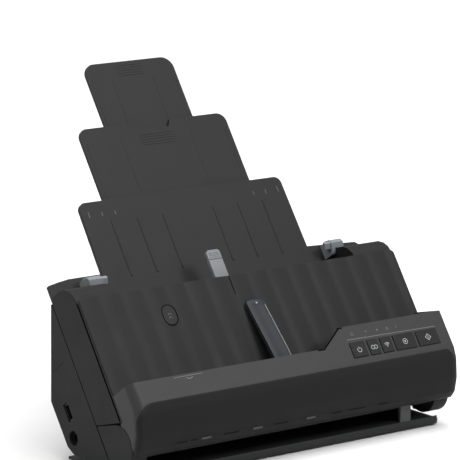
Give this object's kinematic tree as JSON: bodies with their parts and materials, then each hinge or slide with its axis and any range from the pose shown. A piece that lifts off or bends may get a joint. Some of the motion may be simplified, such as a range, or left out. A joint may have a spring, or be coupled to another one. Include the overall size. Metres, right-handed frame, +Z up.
{
  "type": "sheet-fed document scanner",
  "caption": "Compact desktop sheet-fed scanner leaning back on a flat stand, with ribbed opening cover, control keys, edge guides and extending input tray.",
  "frame": {"origin": "on the desk plane, under the centre of the whole scanner's bounding box with the tray pulled out", "axes": "+X to the right along the width as seen from the front, +Y to the back, +Z up"},
  "size_m": [0.3, 0.2307, 0.2722],
  "materials": {
    "casing_black": "fine moulded texture",
    "panel_black": "fine moulded texture",
    "front_charcoal": "satin moulded",
    "stand_charcoal": "moulded",
    "button_black": "satin",
    "guide_grey": "satin",
    "inner_plastic": "moulded",
    "foot_rubber": "matte",
    "roller_rubber": "matte",
    "roller_white": "moulded acetal",
    "bright_steel": "drawn",
    "sheet_steel": "zinc plated",
    "sensor_body": "moulded",
    "sensor_glass": "polished",
    "board_green": "solder mask",
    "shield_metal": "tinned",
    "socket_black": "moulded"
  },
  "bodies": {
    "stand": {"base_plate": "stand_charcoal", "stand_post": "stand_charcoal", "rubber_feet": "foot_rubber", "tilt_pins": "bright_steel"},
    "casing": {"rear_housing": "casing_black", "mid_frame": "casing_black", "hinge_ear_left": "casing_black", "hinge_ear_right": "casing_black", "cover_hinge_pins": "bright_steel", "chassis": "sheet_steel", "roller_bushes": "inner_plastic", "drive_motor": "sheet_steel", "drive_belt": "roller_rubber", "rear_sensor_bar": "sensor_body", "rear_sensor_glass": "sensor_glass", "main_board": "board_green", "wireless_module": "shield_metal", "port_board": "board_green", "usb_socket": "shield_metal", "power_socket": "socket_black", "input_tray": "casing_black", "chassis_screws": "bright_steel"},
    "cover": {"ribbed_panel": "panel_black", "cover_frame": "inner_plastic", "front_shell": "front_charcoal", "output_guide": "casing_black", "lever_pin": "bright_steel", "roller_holders": "inner_plastic", "pressure_springs": "bright_steel", "spring_rails": "sheet_steel", "pressure_shafts": "bright_steel", "front_sensor_bar": "sensor_body", "front_sensor_glass": "sensor_glass", "control_board": "board_green"},
    "feed_roller": {"feed_shaft": "bright_steel", "feed_tyres": "roller_rubber", "feed_pulley": "inner_plastic"},
    "transport_roller": {"transport_shaft": "bright_steel", "transport_tyres": "roller_rubber", "transport_pulley": "inner_plastic"},
    "exit_roller": {"exit_shaft": "bright_steel", "exit_tyres": "roller_rubber", "exit_pulley": "inner_plastic"},
    "motor_rotor": {"motor_pulley": "inner_plastic"},
    "separation": {"separation_roller": "roller_rubber"},
    "transport_pinch": {"transport_pinch_rollers": "roller_white"},
    "exit_pinch": {"exit_pinch_rollers": "roller_white"},
    "latch": {"latch_bar": "inner_plastic"},
    "latch_button": {"cover_button": "button_black"},
    "lever": {"output_lever": "guide_grey"},
    "arm": {"support_arm": "guide_grey"},
    "extension": {"tray_extension": "casing_black"},
    "tip": {"tray_tip": "casing_black"},
    "guide_left": {"edge_guide_left": "guide_grey"},
    "guide_right": {"edge_guide_right": "guide_grey"},
    "power_key": {"power_button": "button_black"},
    "pairing_key": {"pairing_button": "button_black"},
    "wireless_key": {"wireless_button": "button_black"},
    "stop_key": {"stop_button": "button_black"},
    "start_key": {"start_button": "button_black"}
  },
  "joints": [
    {"name": "stand_tilt", "type": "hinge", "parent": "stand", "child": "casing", "pos_m": [0, -0.02709, 0.0155], "axis": [-1, 0, 0], "range_deg": [-3.5, 0]},
    {"name": "cover_open", "type": "hinge", "parent": "casing", "child": "cover", "pos_m": [0, -0.08911, 0.02549], "axis": [1, 0, 0], "range_deg": [0, 30]},
    {"name": "transport_spin", "type": "hinge", "parent": "casing", "child": "transport_roller", "pos_m": [0, -0.03546, 0.06532], "axis": [1, 0, 0], "continuous": true},
    {"name": "feed_spin", "type": "hinge", "parent": "casing", "child": "feed_roller", "pos_m": [0, -0.02112, 0.0858], "axis": [1, 0, 0], "continuous": true},
    {"name": "exit_spin", "type": "hinge", "parent": "casing", "child": "exit_roller", "pos_m": [0, -0.0607, 0.02928], "axis": [1, 0, 0], "continuous": true},
    {"name": "motor_spin", "type": "hinge", "parent": "casing", "child": "motor_rotor", "pos_m": [0, -0.02858, 0.04097], "axis": [1, 0, 0], "continuous": true},
    {"name": "separation_spin", "type": "hinge", "parent": "cover", "child": "separation", "pos_m": [0, -0.03521, 0.09566], "axis": [1, 0, 0], "continuous": true},
    {"name": "transport_pinch_spin", "type": "hinge", "parent": "cover", "child": "transport_pinch", "pos_m": [0, -0.04873, 0.07461], "axis": [1, 0, 0], "continuous": true},
    {"name": "exit_pinch_spin", "type": "hinge", "parent": "cover", "child": "exit_pinch", "pos_m": [0, -0.07397, 0.03857], "axis": [1, 0, 0], "continuous": true},
    {"name": "cover_button_press", "type": "slide", "parent": "cover", "child": "latch_button", "axis": [0, 0.8192, -0.5736], "range_m": [0, 0.0012], "stiffness_N_per_m": 400, "springref_m": -0.001},
    {"name": "latch_slide", "type": "slide", "parent": "cover", "child": "latch", "axis": [0, -0.5736, -0.8192], "range_m": [0, 0.0012]},
    {"name": "lever_flip", "type": "hinge", "parent": "cover", "child": "lever", "pos_m": [0, -0.10014, 0.05873], "axis": [1, 0, 0], "range_deg": [0, 25]},
    {"name": "arm_slide", "type": "slide", "parent": "cover", "child": "arm", "axis": [0, 0.5736, 0.8192], "range_m": [-0.022, 0]},
    {"name": "extension_slide", "type": "slide", "parent": "casing", "child": "extension", "axis": [0, 0.5736, 0.8192], "range_m": [-0.062, 0]},
    {"name": "tip_slide", "type": "slide", "parent": "extension", "child": "tip", "axis": [0, 0.5736, 0.8192], "range_m": [-0.06, 0]},
    {"name": "guide_left_slide", "type": "slide", "parent": "casing", "child": "guide_left", "axis": [1, 0, 0], "range_m": [0, 0.078]},
    {"name": "guide_right_slide", "type": "slide", "parent": "casing", "child": "guide_right", "axis": [1, 0, 0], "range_m": [-0.078, 0]},
    {"name": "power_press", "type": "slide", "parent": "cover", "child": "power_key", "axis": [0, 0.8192, -0.5736], "range_m": [0, 0.0008], "stiffness_N_per_m": 500, "springref_m": -0.0006},
    {"name": "pairing_press", "type": "slide", "parent": "cover", "child": "pairing_key", "axis": [0, 0.8192, -0.5736], "range_m": [0, 0.0008], "stiffness_N_per_m": 500, "springref_m": -0.0006},
    {"name": "wireless_press", "type": "slide", "parent": "cover", "child": "wireless_key", "axis": [0, 0.8192, -0.5736], "range_m": [0, 0.0008], "stiffness_N_per_m": 500, "springref_m": -0.0006},
    {"name": "stop_press", "type": "slide", "parent": "cover", "child": "stop_key", "axis": [0, 0.8192, -0.5736], "range_m": [0, 0.0008], "stiffness_N_per_m": 500, "springref_m": -0.0006},
    {"name": "start_press", "type": "slide", "parent": "cover", "child": "start_key", "axis": [0, 0.8192, -0.5736], "range_m": [0, 0.0008], "stiffness_N_per_m": 500, "springref_m": -0.0006}
  ],
  "couplings": [
    {"joint": "feed_spin", "follows": "transport_spin", "ratio": 1},
    {"joint": "exit_spin", "follows": "transport_spin", "ratio": 1},
    {"joint": "motor_spin", "follows": "transport_spin", "ratio": 1},
    {"joint": "separation_spin", "follows": "transport_spin", "ratio": -1.4},
    {"joint": "transport_pinch_spin", "follows": "transport_spin", "ratio": -1.6333},
    {"joint": "exit_pinch_spin", "follows": "transport_spin", "ratio": -1.6333},
    {"joint": "latch_slide", "follows": "cover_button_press", "ratio": 1},
    {"joint": "guide_right_slide", "follows": "guide_left_slide", "ratio": -1}
  ]
}
